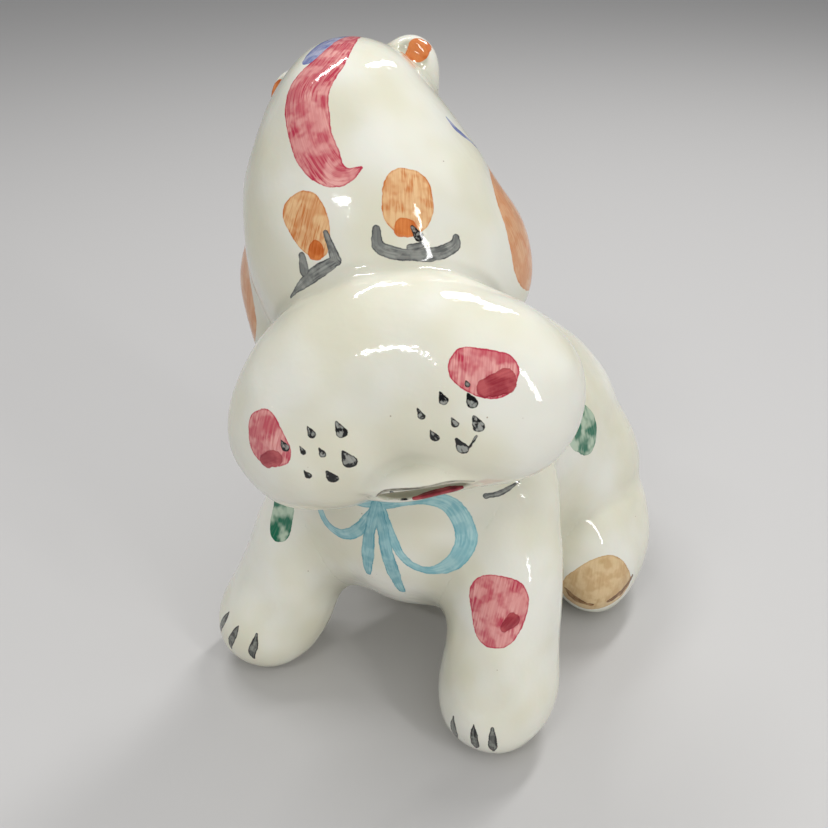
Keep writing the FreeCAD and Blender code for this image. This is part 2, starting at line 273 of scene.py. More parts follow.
# Casting: (field, how widely it melts into the rest, whether it is hollow)
CASTINGS = {
    "torso_shell": (lambda points: melted(points, TORSO, TORSO_FILLET), 0, True),
    "head_shell": (head_field, 9, True),
    "lower_jaw": (lambda points: melted(points, JAW, SMALL_FILLET), 3, False),
    "left_ear": (lambda points: ear_field(points, 1), 6, False),
    "right_ear": (lambda points: ear_field(points, -1), 6, False),
    "left_foreleg": (lambda points: melted(points, LEFT_FORELEG, LEG_FILLET), 14, True),
    "right_foreleg": (lambda points: melted(points, RIGHT_FORELEG, LEG_FILLET), 14, True),
    "left_hind_leg": (lambda points: hind_leg_field(points, 1), 8, True),
    "right_hind_leg": (lambda points: hind_leg_field(points, -1), 8, True),
    "tail": (lambda points: melted(points, TAIL, SMALL_FILLET), 5, False),
}


def waviness(points):
    """The slight unevenness of a hand-finished casting, in millimetres."""
    waves = np.random.default_rng(WAVE_SEED)
    total = np.zeros(len(points), points.dtype)
    for _ in range(WAVE_COUNT):
        direction = waves.normal(size=3)
        direction /= np.linalg.norm(direction)
        length = waves.uniform(*WAVE_LENGTHS)
        phase = waves.uniform(0, 2 * math.pi)
        turns = (points @ (direction * 2 * math.pi / length).astype(points.dtype)) + phase
        total += np.sin(turns).astype(points.dtype)
    return WAVE_HEIGHT * total


def mould_ridge(points, shin):
    """Where a foreleg's two mould halves met: 1 on the line down each side, fading to 0."""
    centre, radii, turn = shin
    across, forward, along = ((points - centre.astype(points.dtype)) @ turn.astype(points.dtype)).T
    off_side = (np.abs(across) - radii[0]) / RIDGE_REACH
    falloff = -((forward / RIDGE_WIDTH) ** 2) - (along / radii[2]) ** 4 - off_side ** 2
    return np.exp(falloff).astype(points.dtype)


def skin_of(distances):
    """All the castings' distances melted into one skin, and the same for the hollow ones."""
    skin = None
    hollow = None
    for distance, (_, width, is_hollow) in zip(distances, CASTINGS.values()):
        skin = distance if skin is None else melt(skin, distance, width)
        if is_hollow:
            hollow = distance if hollow is None else melt(hollow, distance, width)
    return skin, hollow


def outside(points, distances=None):
    """The figure's whole outside, with no openings: wavy, and flat on the table."""
    if distances is None:
        distances = [field(points) for field, _, _ in CASTINGS.values()]
    skin, _ = skin_of(distances)
    skin = skin + waviness(points)
    for leg in (LEFT_FORELEG, RIGHT_FORELEG):
        skin = skin - RIDGE_HEIGHT * mould_ridge(points, leg[1])
    mouth = ellipsoid(points, MOUTH)
    skin = skin - LIP_HEIGHT * np.exp(-(((mouth - LIP_PLACE) / LIP_WIDTH) ** 2))
    skin = carve(skin, -mouth, MOUTH_ROUND)
    return carve(skin, -points[:, 2], FOOT_ROUND)


def casting_field(points, node):
    """One casting, closed: its share of the skin, its cavity, and the openings cut in it."""
    distances = [field(points) for field, _, _ in CASTINGS.values()]
    _, hollow = skin_of(distances)
    solid = outside(points, distances)
    place = list(CASTINGS).index(node)
    others = np.min([distance for row, distance in enumerate(distances) if row != place], axis=0)
    seam = (distances[place] - others) / 2
    sunk = np.clip(seam, 0, None)
    solid = np.maximum(solid + sunk * sunk * SEAM_SINK, seam - OVERLAP)
    if not CASTINGS[node][2]:
        return solid
    x, y, z = points.T
    off_axis = np.hypot(x - PLUG_CENTRE[0], y - PLUG_CENTRE[1])
    boss = np.maximum(off_axis - (RECESS_RADIUS + WALL), z - (RECESS_DEPTH + WALL))
    cavity = np.maximum(np.maximum(hollow + WALL, WALL - z), -boss)
    solid = np.maximum(solid, -cavity)
    if node == "torso_shell":
        recess = np.maximum(off_axis - RECESS_RADIUS, z - RECESS_DEPTH)
        hole = np.maximum(off_axis - HOLE_RADIUS, z - HOLE_TOP)
        slot_end = np.maximum(np.abs(y - SLOT_MIDDLE) - (SLOT_LENGTH - SLOT_WIDTH) / 2, 0)
        slot = np.maximum(np.hypot(slot_end, x) - SLOT_WIDTH / 2, SLOT_BOTTOM - z)
        solid = carve(solid, -recess, RECESS_ROUND)
        solid = np.maximum(solid, -hole)
        solid = carve(solid, -slot, SLOT_ROUND)
    return solid


# ---- painted marks ----

# Places are millimetres: head marks in the head's frame, body marks in the figure's. A stroke is a
# smooth curve with a half-width at each knot; an egg is a rounded dab. Both are laid on the skin.


def in_head(*knots):
    """Knots given in the head's frame, put in the figure's."""
    knots = np.array(knots, float)
    knots[:, :3] = HEAD_ORIGIN + knots[:, :3] @ HEAD_TURN.T
    return knots


def in_body(*knots):
    """Knots given in the figure's own frame."""
    return np.array(knots, float)


def stroke(knots):
    """A line of the brush through knots: x, y, z and the half-width there."""
    return "stroke", knots


def egg(centre, tall, wide, lean=0, taper=0):
    """A dab: half-height, half-width, degrees it leans, and how much wider it is above than below."""
    return "egg", np.append(centre, [tall, wide, lean, taper])


def dot(x, y, z, size=1.0):
    """A whisker dot: one dab of the brush, pointed above and round below."""
    point = (x - 0.4 * size, y, z + 1.5 * size, 0.3 * size)
    belly = (x, y, z - 0.4 * size, 1.15 * size)
    return stroke(in_head(point, belly))


def claw(x, y, z, lean):
    """A claw line on a paw: a narrow leaf standing on end."""
    upper = (x + 0.4 * lean, y, z - 3.5, 1.2)
    lower = (x + lean, y, z - 7.5, 1.2)
    return stroke(in_body((x, y, z, 0.3), upper, lower, (x + lean, y + 1, z - 10, 0.3)))


# The marks of each layer, painted in this order.
MARKS = {
    # The crest's edge and a line on the near side.
    "blue": [
        stroke(in_head((9, 6, 59, 3), (5, -4, 58.5, 4), (0.5, -11.5, 56.5, 3.8), (-3, -16.5, 54, 2.5))),
        stroke(in_head((25.5, -9, 31.5, 0.5), (27.5, -8, 28, 1), (29.5, -2, 23, 0.4))),
    ],
    # The crest, both cheeks, the near foreleg and the back.
    "rose": [
        stroke(in_head(
            (8, -1, 59, 1), (3, -18, 51.5, 4.2), (-4, -25, 44.5, 6.2), (-4.5, -29.5, 34, 5.6),
            (-3, -31.5, 28, 5), (-0.5, -33, 23.5, 3.4), (3, -33, 22, 1.8), (6.5, -32, 23, 0.4))),
        egg(in_head((26, -48, -28.5)), 5.5, 8, 8),
        egg(in_head((-28, -48.5, -33)), 7.2, 5.6, -35),
        egg(in_body((38.5, -52.5, 49.5)), 10.5, 8, -10, 0.12),
        egg(in_body((-21, 64, 78)), 8.5, 9.5, 40),
    ],
    # Darker dabs on the rose ones.
    "crimson": [
        stroke(in_head((25.5, -48.5, -32, 2.2), (30, -47.5, -31.5, 2.8))),
        stroke(in_head((-30, -47, -38, 2), (-27, -48, -37.5, 2.2))),
        stroke(in_body((41, -53, 45, 1.2), (43, -52, 47.5, 2.1))),
    ],
    # The eyes.
    "tan": [
        egg(in_head((-9, -34.5, 13)), 8.5, 5.5, -45, 0.35),
        egg(in_head((15, -31, 12.5)), 8, 6.2, 0, 0.15),
    ],
    # The sides of the head.
    "peach": [
        egg(in_head((37, 4, 3)), 17.5, 14, 25, -0.2),
        egg(in_head((-43, 2.5, 5)), 17, 13.5, -20, -0.25),
    ],
    # The near sole.
    "ochre": [egg(in_body((53, 6, 19.5)), 11.5, 10, 60)],
    # The rim of the near sole.
    "umber": [
        stroke(in_body((42.5, 7, 17, 0.4), (45.5, 6.5, 14, 1.5), (51, 6, 12.5, 0.5))),
        stroke(in_body((55, 8.5, 13, 0.5), (58.5, 12.5, 15, 1.4), (61, 17, 18.5, 0.4))),
    ],
    # Low in the eyes, and inside the ears.
    "rust": [
        egg(in_head((-8.5, -34.5, 7)), 2.4, 2.1),
        egg(in_head((13.5, -33, 7)), 2.3, 2.8),
        egg(in_head((20, 10, 52.5)), 3.2, 3),
        egg(in_head((-20.5, 10, 52)), 4, 2.6, 15),
    ],
    # The far shoulder, the near flank and the rump.
    "green": [
        egg(in_body((-33, -48, 59.5)), 10, 5, -20),
        egg(in_body((39.5, 15.5, 71.5)), 9.5, 8, -50),
        egg(in_body((23, 73, 65.5)), 9.5, 8.5, -5),
    ],
    # The loops of the bow.
    "cyan": [
        stroke(in_body(
            (3, -55.5, 76, 1.2), (-2.5, -55.5, 67, 1.9), (-8, -54.5, 62.5, 1.8), (-13.5, -53.5, 62.5, 1.6),
            (-17, -52.5, 67, 1.4), (-15.5, -51.5, 74, 1.4), (3, -55.5, 77, 1.3))),
        stroke(in_body(
            (4, -55.5, 76, 1.6), (9.5, -54, 61, 1.3), (14, -51, 55.5, 1.3), (19.5, -50, 56, 1.7),
            (25, -49, 61.5, 2.7), (26.5, -47.5, 69, 3.1), (22, -48.5, 78, 2.5), (14, -52, 80, 1.7),
            (4, -55.5, 77, 1.6))),
    ],
    # The tails of the bow.
    "ribbon": [
        stroke(in_body(
            (3, -55.5, 77, 1.5), (1, -55.5, 68, 1.7), (-0.5, -55.5, 58, 2.1), (-1.5, -53.5, 49.5, 1))),
        stroke(in_body((3.5, -55.5, 76, 1.2), (5, -55, 66, 1.8), (6.5, -53.5, 54, 2), (7.5, -49, 43.5, 1.2))),
    ],
    # Where glaze pools over the mouth.
    # Painted shade along the mouth's upper edge, which also stands for glaze pooled there.
    "mouth_shade_and_pooling": [
        stroke(in_head(
            (-8, -40.5, -52.5, 0.2), (-3, -44, -51.4, 0.4), (10, -43.6, -52.4, 0.4), (16.5, -41, -54, 0.2))),
    ],
    # The tongue.
    "mouth": [
        stroke(in_head(
            (1.5, -39.5, -55.3, 1), (5, -38, -55.2, 1.8), (9.5, -37.5, -55.5, 1.5), (12.5, -38, -55.6, 0.6))),
    ],
    # The lower lids, their lashes and a line on the near shoulder.
    "grey": [
        stroke(in_head(
            (7, -34.5, 8.5, 0.9), (6.8, -35, 4, 1.5), (12.5, -33.5, 0.8, 1.5), (19, -29.5, -0.6, 1.7),
            (22.5, -26.5, 0.2, 1.5), (23.5, -26, 2, 0.9))),
        stroke(in_head(
            (-5, -35.5, 10.5, 0.7), (-4.2, -35.5, 4.2, 1.4), (-4.8, -35.5, 3.4, 1.4), (-11, -34, 1.6, 1.8),
            (-19.5, -31, -2, 0.3))),
        stroke(in_head((13, -32.5, 2.3, 0.8), (16, -31.5, 2.2, 0.8))),
        stroke(in_head((-12.5, -33.5, 6.8, 0.9), (-13, -33.5, 3, 1.5))),
        stroke(in_body((30, -42.5, 79.5, 0.8), (33.5, -39.5, 80, 0.9), (37, -35.5, 82, 0.3))),
    ],
    # A pupil, a tooth and the whisker dots.
    "ink": [
        stroke(in_head((14.8, -32, 6.8, 0.5), (15.8, -31.5, 4.2, 1.2))),
        stroke(in_head(
            (-2.8, -43.6, -51.9, 0.5), (-3, -41, -53.6, 0.6), (-0.2, -40.6, -54.3, 0.6),
            (0.8, -43.6, -52.4, 0.5))),
        dot(-16, -50.5, -33), dot(-9, -50.5, -34, 1.3), dot(-23.5, -49.5, -35, 0.9),
        dot(-19.5, -50, -37, 0.8), dot(-15, -50, -38.5, 0.8), dot(-9.5, -49, -41.5, 1.6),
        dot(-20.5, -48, -43, 0.9), dot(-15, -47.5, -45, 1.3), dot(16, -50.5, -32), dot(22, -50, -30, 0.5),
        dot(22, -50, -34, 1.1), dot(10, -50, -34.5, 0.9), dot(17, -50, -38, 0.8), dot(22, -49.5, -39.5, 1.3),
        dot(11.5, -48.5, -40), dot(17, -48, -44, 1.4),
        stroke(in_head((17.5, -47.5, -45.5, 0.3), (21, -48.5, -42, 0.3))),
    ],
    # Three claws on each forepaw.
    "claws": [
        claw(-47, -61, 24, -3.5), claw(-42, -64, 22.5, -3), claw(-35.5, -63.5, 21.5, -2),
        claw(31.5, -64, 17, 0), claw(38, -65, 18, 0.5), claw(43, -64.5, 18, 0.5),
    ],
}


def slope_of(field, points, step=0.05):
    """The field's gradient at each point."""
    slope = np.empty_like(points)
    for axis in range(3):
        shift = np.zeros(3)
        shift[axis] = step
        slope[:, axis] = (field(points + shift) - field(points - shift)) / (2 * step)
    return slope


def unit(vectors):
    """Vectors of length 1."""
    return vectors / np.maximum(np.linalg.norm(vectors, axis=-1, keepdims=True), TINY)


def settle(field, points, rounds=2, reach=0.5):
    """Moves points onto the field's surface, by at most reach voxels a round."""
    for _ in range(rounds):
        slope = slope_of(field, points)
        value = field(points)
        move = value[:, None] * slope / np.maximum((slope * slope).sum(1), LEAST_SLOPE)[:, None]
        length = np.linalg.norm(move, axis=1, keepdims=True)
        points = points - move * np.minimum(1, reach * VOXEL / np.maximum(length, TINY))
    return points


def curve(knots, steps=6):
    """A smooth curve through knots (Catmull-Rom)."""
    ring = np.vstack([2 * knots[0] - knots[1], knots, 2 * knots[-1] - knots[-2]])
    part = (np.arange(steps) / steps)[:, None]
    pieces = []
    for before, start, end, after in zip(ring, ring[1:], ring[2:], ring[3:]):
        pieces.append(0.5 * (
            2 * start + (end - before) * part + (2 * before - 5 * start + 4 * end - after) * part ** 2
            + (3 * start - before - 3 * end + after) * part ** 3
        ))
    return np.vstack(pieces + [knots[-1:]])


def on_skin(points):
    """Points moved onto the figure's outside."""
    return settle(outside, points, rounds=4, reach=3)


def stroke_reading(points, normals, line):
    """How far along, across and outside a stroke the points are. line holds x, y, z, half-width."""
    outcome = np.full((len(points), 3), FAR)
    travelled = 0
    for start, end in zip(line[:-1], line[1:]):
        step = end[:3] - start[:3]
        length = max(np.linalg.norm(step), TINY)
        part = np.clip((points - start[:3]) @ step / length ** 2, 0, 1)
        offset = points - start[:3] - part[:, None] * step
        distance = np.linalg.norm(offset, axis=1) - (start[3] + part * (end[3] - start[3]))
        side = np.einsum("ij,ij->i", offset, unit(np.cross(step, normals)))
        nearer = distance < outcome[:, 2]
        outcome[nearer] = np.stack([travelled + part * length, side, distance], axis=1)[nearer]
        travelled += length
    return outcome


def egg_reading(points, normals, dab):
    """The same for an egg, in the plane that touches the skin at its centre."""
    centre = dab[0, :3]
    tall, wide, lean, taper = dab[0, 3:]
    facing = unit(slope_of(outside, centre[None]))[0]
    upright = unit(EGG_UPRIGHT - facing * (EGG_UPRIGHT @ facing))
    flat = (points - centre) @ np.stack([upright, np.cross(upright, facing)]).T
    cosine, sine = math.cos(math.radians(lean)), math.sin(math.radians(lean))
    up = flat[:, 0] * cosine + flat[:, 1] * sine
    side = flat[:, 1] * cosine - flat[:, 0] * sine
    width = wide * (1 + taper * np.clip(up / tall, -1, 1))
    wave = 1 + EGG_UNEVENNESS * np.sin(3 * np.arctan2(side, up) + tall)
    powers = np.abs(up / tall) ** EGG_SQUARENESS + np.abs(side / width) ** EGG_SQUARENESS
    share = powers ** (1 / EGG_SQUARENESS)
    distance = np.hypot(up, side) * (1 - wave / np.maximum(share, TINY))
    distance[normals @ facing < EGG_TURNED_AWAY] = FAR
    return np.column_stack([flat, distance])


def laid(kind, knots):
    """A mark with its places moved onto the skin."""
    line = curve(knots) if kind == "stroke" else knots[None]
    return kind, np.column_stack([on_skin(line[:, :3]), line[:, 3:]])


DRAWN = {layer: [laid(kind, knots) for kind, knots in marks] for layer, marks in MARKS.items()}


def painted(points):
    """For each layer, where the points lie in its nearest mark: along, across, and depth into it."""
    result = {layer: np.tile([0.0, 0.0, -FAR], (len(points), 1)) for layer in DRAWN}
    shown = outside(points) > -PAINT_DEPTH
    normals = np.zeros_like(points)
    known = np.zeros(len(points), bool)
    for layer, marks in DRAWN.items():
        for place, (kind, line) in enumerate(marks):
            margin = MARK_MARGIN if kind == "stroke" else MARK_MARGIN + line[0, 3:5].max()
            low = line[:, :3].min(axis=0) - margin
            high = line[:, :3].max(axis=0) + margin
            near = np.flatnonzero(shown & ((points > low) & (points < high)).all(axis=1))
            if not len(near):
                continue
            unread = near[~known[near]]
            normals[unread] = unit(slope_of(outside, points[unread]))
            known[unread] = True
            read = stroke_reading if kind == "stroke" else egg_reading
            along, across, distance = read(points[near], normals[near], line).T
            deeper = -distance > result[layer][near, 2]
            reading = np.stack([along + STREAK_SHIFT * place, across, -distance], axis=1)
            result[layer][near[deeper]] = reading[deeper]
    return result


# ---- meshes ----


def sample(field, low, high):
    """The field on a grid of points, VOXEL apart, as a block of values."""
    axes = [np.arange(lo, hi + VOXEL, VOXEL, dtype=np.float32) for lo, hi in zip(low, high)]
    block = np.empty([len(axis) for axis in axes], np.float32)
    rows = max(1, POINTS_AT_ONCE // (len(axes[1]) * len(axes[2])))
    for start in range(0, len(axes[0]), rows):
        part = np.stack(np.meshgrid(axes[0][start:start + rows], axes[1], axes[2], indexing="ij"), -1)
        block[start:start + rows] = field(part.reshape(-1, 3)).reshape(part.shape[:3])
    return block


def make_mesh(name, points, quads):
    """A smooth-shaded mesh object from points in millimetres."""
    corners = points[quads]
    first = corners[:, 1] - corners[:, 0]
    second = corners[:, 2] - corners[:, 0]
    volume = np.einsum("ij,ij->i", corners[:, 0], np.cross(first, second)).sum()
    if volume < 0:
        quads = quads[:, ::-1]
    mesh = bpy.data.meshes.new(name)
    mesh.vertices.add(len(points))
    mesh.vertices.foreach_set("co", (points * MM).astype(np.float32).ravel())
    mesh.loops.add(quads.size)
    mesh.loops.foreach_set("vertex_index", quads.astype(np.int32).ravel())
    mesh.polygons.add(len(quads))
    mesh.polygons.foreach_set("loop_start", np.arange(0, quads.size, 4, dtype=np.int32))
    mesh.polygons.foreach_set("use_smooth", np.ones(len(quads), bool))
    mesh.update(calc_edges=True)
    mesh.validate()
    item = bpy.data.objects.new(name, mesh)
    bpy.context.scene.collection.objects.link(item)
    return item


def points_of(item):
    """The points of a mesh, in millimetres."""
    points = np.empty(len(item.data.vertices) * 3, np.float32)
    item.data.vertices.foreach_get("co", points)
    return points.reshape(-1, 3).astype(float) / MM


def refine(item, field):
    """Splits the faces that a mark's edge crosses, and puts the new points on the field."""
    points = points_of(item)
    close = [np.abs(reading[:, 2]) < EDGE_ZONE for reading in painted(points).values()]
    near = np.flatnonzero(np.any(close, axis=0))
    if not len(near):
        return
    cage = bmesh.new()
    cage.from_mesh(item.data)
    cage.verts.ensure_lookup_table()
    cage.edges.index_update()
    edges = {edge for index in near for face in cage.verts[index].link_faces for edge in face.edges}
    edges = sorted(edges, key=lambda edge: edge.index)
    bmesh.ops.subdivide_edges(cage, edges=edges, cuts=1, use_grid_fill=True)
    cage.to_mesh(item.data)
    cage.free()
    item.data.polygons.foreach_set("use_smooth", np.ones(len(item.data.polygons), bool))
    old = len(points)
    points = points_of(item)
    points[old:] = settle(field, points[old:])
    item.data.vertices.foreach_set("co", (points * MM).astype(np.float32).ravel())
    item.data.update()


def note_paint(item):
    """Stores each layer's reading, the depth of clay, and how deep in a crease each point lies for the
    painted crease shade, on the mesh's points.
    """
    points = points_of(item)
    for layer, reading in painted(points).items():
        item.data.attributes.new(layer, "FLOAT_VECTOR", "POINT").data.foreach_set(
            "vector", reading.astype(np.float32).ravel()
        )
    buried = -outside(points)
    normals = unit(slope_of(outside, points))
    crease = 1 - outside(points + CREASE_REACH * normals) / CREASE_REACH
    for name, values in (("buried", buried), ("crease", crease)):
        item.data.attributes.new(name, "FLOAT", "POINT").data.foreach_set("value", values.astype(np.float32))


def make_casting(node):
    """The finished mesh of one casting."""
    low, high = (np.array(corner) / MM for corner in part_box(node))
    low = np.floor(low - SAMPLE_MARGIN)
    high = high + SAMPLE_MARGIN

    def field(points):
        return casting_field(points, node)

    band = BAND * VOXEL
    grid = openvdb.FloatGrid(band)
    grid.copyFromArray(np.clip(sample(field, low, high), -band, band))
    points, _, quads = grid.convertToPolygons(isovalue=0, adaptivity=0)
    points = settle(field, points.astype(np.float64) * VOXEL + low)
    casting = make_mesh(node.replace("_shell", "") + "_casting", points, quads)
    for _ in range(SPLITS):
        refine(casting, field)
    note_paint(casting)
    return casting


castings = {node: make_casting(node) for node in CASTINGS}
for node, casting in castings.items():
    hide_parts(node)
    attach(casting, "figure")


# ---- materials ----

# Colours for the renderer: red, green and blue, 0 to 1. The sky's strength on surfaces and in what
# the glaze mirrors.
CLAY = (0.70, 0.66, 0.58)
GLAZE_DEEP = (0.760, 0.738, 0.590)
GLAZE_PALE = (0.830, 0.822, 0.735)
# Painted shade for creases, which also stands for glaze pooled in them.
CREASE_SHADE_AND_POOLED_GLAZE = (0.440, 0.430, 0.320)
IRON_SPECK = (0.30, 0.22, 0.14)
RUBBER = (0.52, 0.50, 0.45)
RUBBER_DUSTY = (0.66, 0.64, 0.59)
RUBBER_PORE = (0.42, 0.40, 0.36)
FLOOR = (0.55, 0.54, 0.53)
DAYLIGHT = (0.94, 0.95, 0.97)
DAYLIGHT_STRENGTH = 0.38
MIRRORED_STRENGTH = 0.14


class Nodes:
    """Shorthand for building one material's nodes."""

    def __init__(self, name):
        self.material = bpy.data.materials.new(name)
        self.material.use_nodes = True
        self.tree = self.material.node_tree
        self.shader = self.tree.nodes["Principled BSDF"]

    def add(self, kind, values=(), output=0, **settings):
        """A node of one kind with its inputs set or linked. Returns one output."""
        node = self.tree.nodes.new(kind)
        for name, value in settings.items():
            setattr(node, name, value)
        for socket, value in dict(values).items():
            self.put(node.inputs[socket], value)
        return node.outputs[output]

    def put(self, socket, value):
        """Sets an input to a plain value, or links it to another node's output."""
        if isinstance(value, bpy.types.NodeSocket):
            self.tree.links.new(value, socket)
        elif isinstance(value, tuple) and len(value) == 3 and socket.type == "RGBA":
            socket.default_value = (*value, 1)
        else:
            socket.default_value = value

    def sum(self, operation, first, second=0.0, third=0.0):
        """Arithmetic on numbers."""
        return self.add("ShaderNodeMath", {0: first, 1: second, 2: third}, operation=operation)

    def ramp(self, value, low, high, to_low=0.0, to_high=1.0):
        """A smooth step from to_low to to_high as value goes from low to high."""
        values = {0: value, 1: low, 2: high, 3: to_low, 4: to_high}
        return self.add("ShaderNodeMapRange", values, interpolation_type="SMOOTHSTEP")

    def noise(self, vector, scale, detail=2.0, roughness=0.5):
        """Noise between about 0.25 and 0.75."""
        values = {"Vector": vector, "Scale": scale, "Detail": detail, "Roughness": roughness}
        return self.add("ShaderNodeTexNoise", values)

    def blend(self, first, second, share):
        """A mix of two colours."""
        values = {0: share, 6: first, 7: second}
        return self.add("ShaderNodeMix", values, output=2, data_type="RGBA", clamp_factor=True)

    def number(self, name):
        """A number stored on the mesh's points."""
        return self.add("ShaderNodeAttribute", output=2, attribute_name=name)


def colour(red, green, blue):
    """A colour given as on a screen, 0 to 255, for the renderer."""
    return tuple(
        part / 12.92 if part <= 0.04045 else ((part + 0.055) / 1.055) ** 2.4
        for part in (red / 255, green / 255, blue / 255)
    )


# How each layer looks: its colour where thin and where thick, and what paint_over does with them.
PAINTS = {
    "blue": dict(thin=colour(180, 184, 206), thick=colour(92, 104, 164), blotches=0.5),
    "rose": dict(thin=colour(238, 174, 166), thick=colour(188, 54, 78), level=0.55, streaks=0.5,
                 blotches=0.45, edge=0.5),
    "crimson": dict(thin=colour(200, 96, 98), thick=colour(142, 34, 50), level=0.5, streaks=0.2,
                    wobble=0.9),
    "tan": dict(thin=colour(236, 192, 138), thick=colour(202, 116, 54), level=0.35, streaks=0.65,
                edge=0.45),
    "peach": dict(thin=colour(230, 184, 142), thick=colour(204, 128, 76), level=0.5, streaks=0.3,
                  blotches=0.3),
    "ochre": dict(thin=colour(222, 194, 146), thick=colour(176, 128, 72), level=0.3, streaks=0.15,
                  blotches=0.35, edge=0.4),
    "umber": dict(thin=colour(160, 112, 60), thick=colour(96, 60, 26), cover=0.7, wobble=1.2),
    "rust": dict(thin=colour(226, 136, 70), thick=colour(188, 84, 26), streaks=0.3),
    "green": dict(thin=colour(178, 198, 174), thick=colour(28, 108, 80), streaks=0.2, blotches=1.1,
                  blotch_size=6, edge=0.3),
    "cyan": dict(thin=colour(168, 210, 212), thick=colour(92, 162, 176), level=0.35, streaks=0.4,
                 blotches=0.35, edge=0.5),
    "ribbon": dict(thin=colour(156, 202, 206), thick=colour(80, 150, 166), level=0.35, streaks=0.4,
                   blotches=0.35, edge=0.5),
    # Painted shade over the mouth, with glaze pooled there.
    "mouth_shade_and_pooling": dict(thin=colour(160, 156, 138), thick=colour(110, 106, 92), cover=0.5, wobble=0.2),
    "mouth": dict(thin=colour(184, 56, 70), thick=colour(118, 18, 38), level=0.5),
    "grey": dict(thin=colour(158, 160, 154), thick=colour(70, 72, 74), level=0.42, streaks=0.45,
                 blotches=0.3, blotch_size=2, edge=0.45),
    "claws": dict(thin=colour(128, 131, 124), thick=colour(24, 25, 27), level=0.4, blotches=0.5,
                  blotch_size=2, edge=0.9),
    "ink": dict(thin=colour(150, 152, 146), thick=colour(16, 17, 19), level=0.6, blotches=1.4,
                blotch_size=1.6, edge=0.9),
}


def paint_over(nodes, base, place, layer, thin, thick, cover=0.93, level=0.45, streaks=0.6, blotches=0.5,
               blotch_size=4.0, edge=0.25, wobble=0.5):
    """Brushed underglaze colour over the colours so far.

    level, streaks, blotches and edge shape its density, cover how far its thinnest part hides what
    is under it, and wobble how ragged its edge is, in millimetres.
    """
    reading = nodes.add("ShaderNodeAttribute", output=1, attribute_name=layer)
    # Lengths read from the mesh are millimetres. place is in metres, and so are its noises' scales.
    along, across, depth = (
        nodes.add("ShaderNodeSeparateXYZ", {0: reading}, output=axis) for axis in range(3)
    )
    ragged = nodes.sum("SUBTRACT", nodes.noise(place, 900, 3), 0.5)
    swell = nodes.sum("SUBTRACT", nodes.noise(place, 260, 1), 0.5)
    uneven = nodes.sum("ADD", nodes.sum("MULTIPLY", ragged, 0.9), nodes.sum("MULTIPLY", swell, 1.4))
    depth = nodes.sum("MULTIPLY_ADD", uneven, wobble, depth)
    mask = nodes.ramp(depth, -0.10, 0.14)
    # The brush's hairs leave streaks along the stroke, stronger in some places than in others.
    lane = nodes.add("ShaderNodeCombineXYZ", {0: nodes.sum("MULTIPLY", along, 0.08), 1: across})
    streak = nodes.ramp(nodes.noise(lane, 1.7, 2, 0.6), 0.38, 0.62, -0.5, 0.5)
    strong = nodes.ramp(nodes.noise(place, 150, 1), 0.40, 0.60, 0.35, 1.0)
    blotch = nodes.ramp(nodes.noise(place, 1000 / blotch_size, 2), 0.40, 0.60, -0.5, 0.5)
    # Colour gathers in blotches and along the edge.
    density = nodes.sum("MULTIPLY_ADD", nodes.sum("MULTIPLY", streak, strong), streaks, level)
    density = nodes.sum("MULTIPLY_ADD", blotch, blotches, density)
    density = nodes.sum("ADD", density, nodes.ramp(depth, 0.05, 0.55, edge, 0.0))
    density = nodes.add("ShaderNodeClamp", {0: density})
    share = nodes.sum("MULTIPLY", mask, nodes.sum("MULTIPLY_ADD", density, 1 - cover, cover))
    return nodes.blend(base, nodes.blend(thin, thick, density), share)


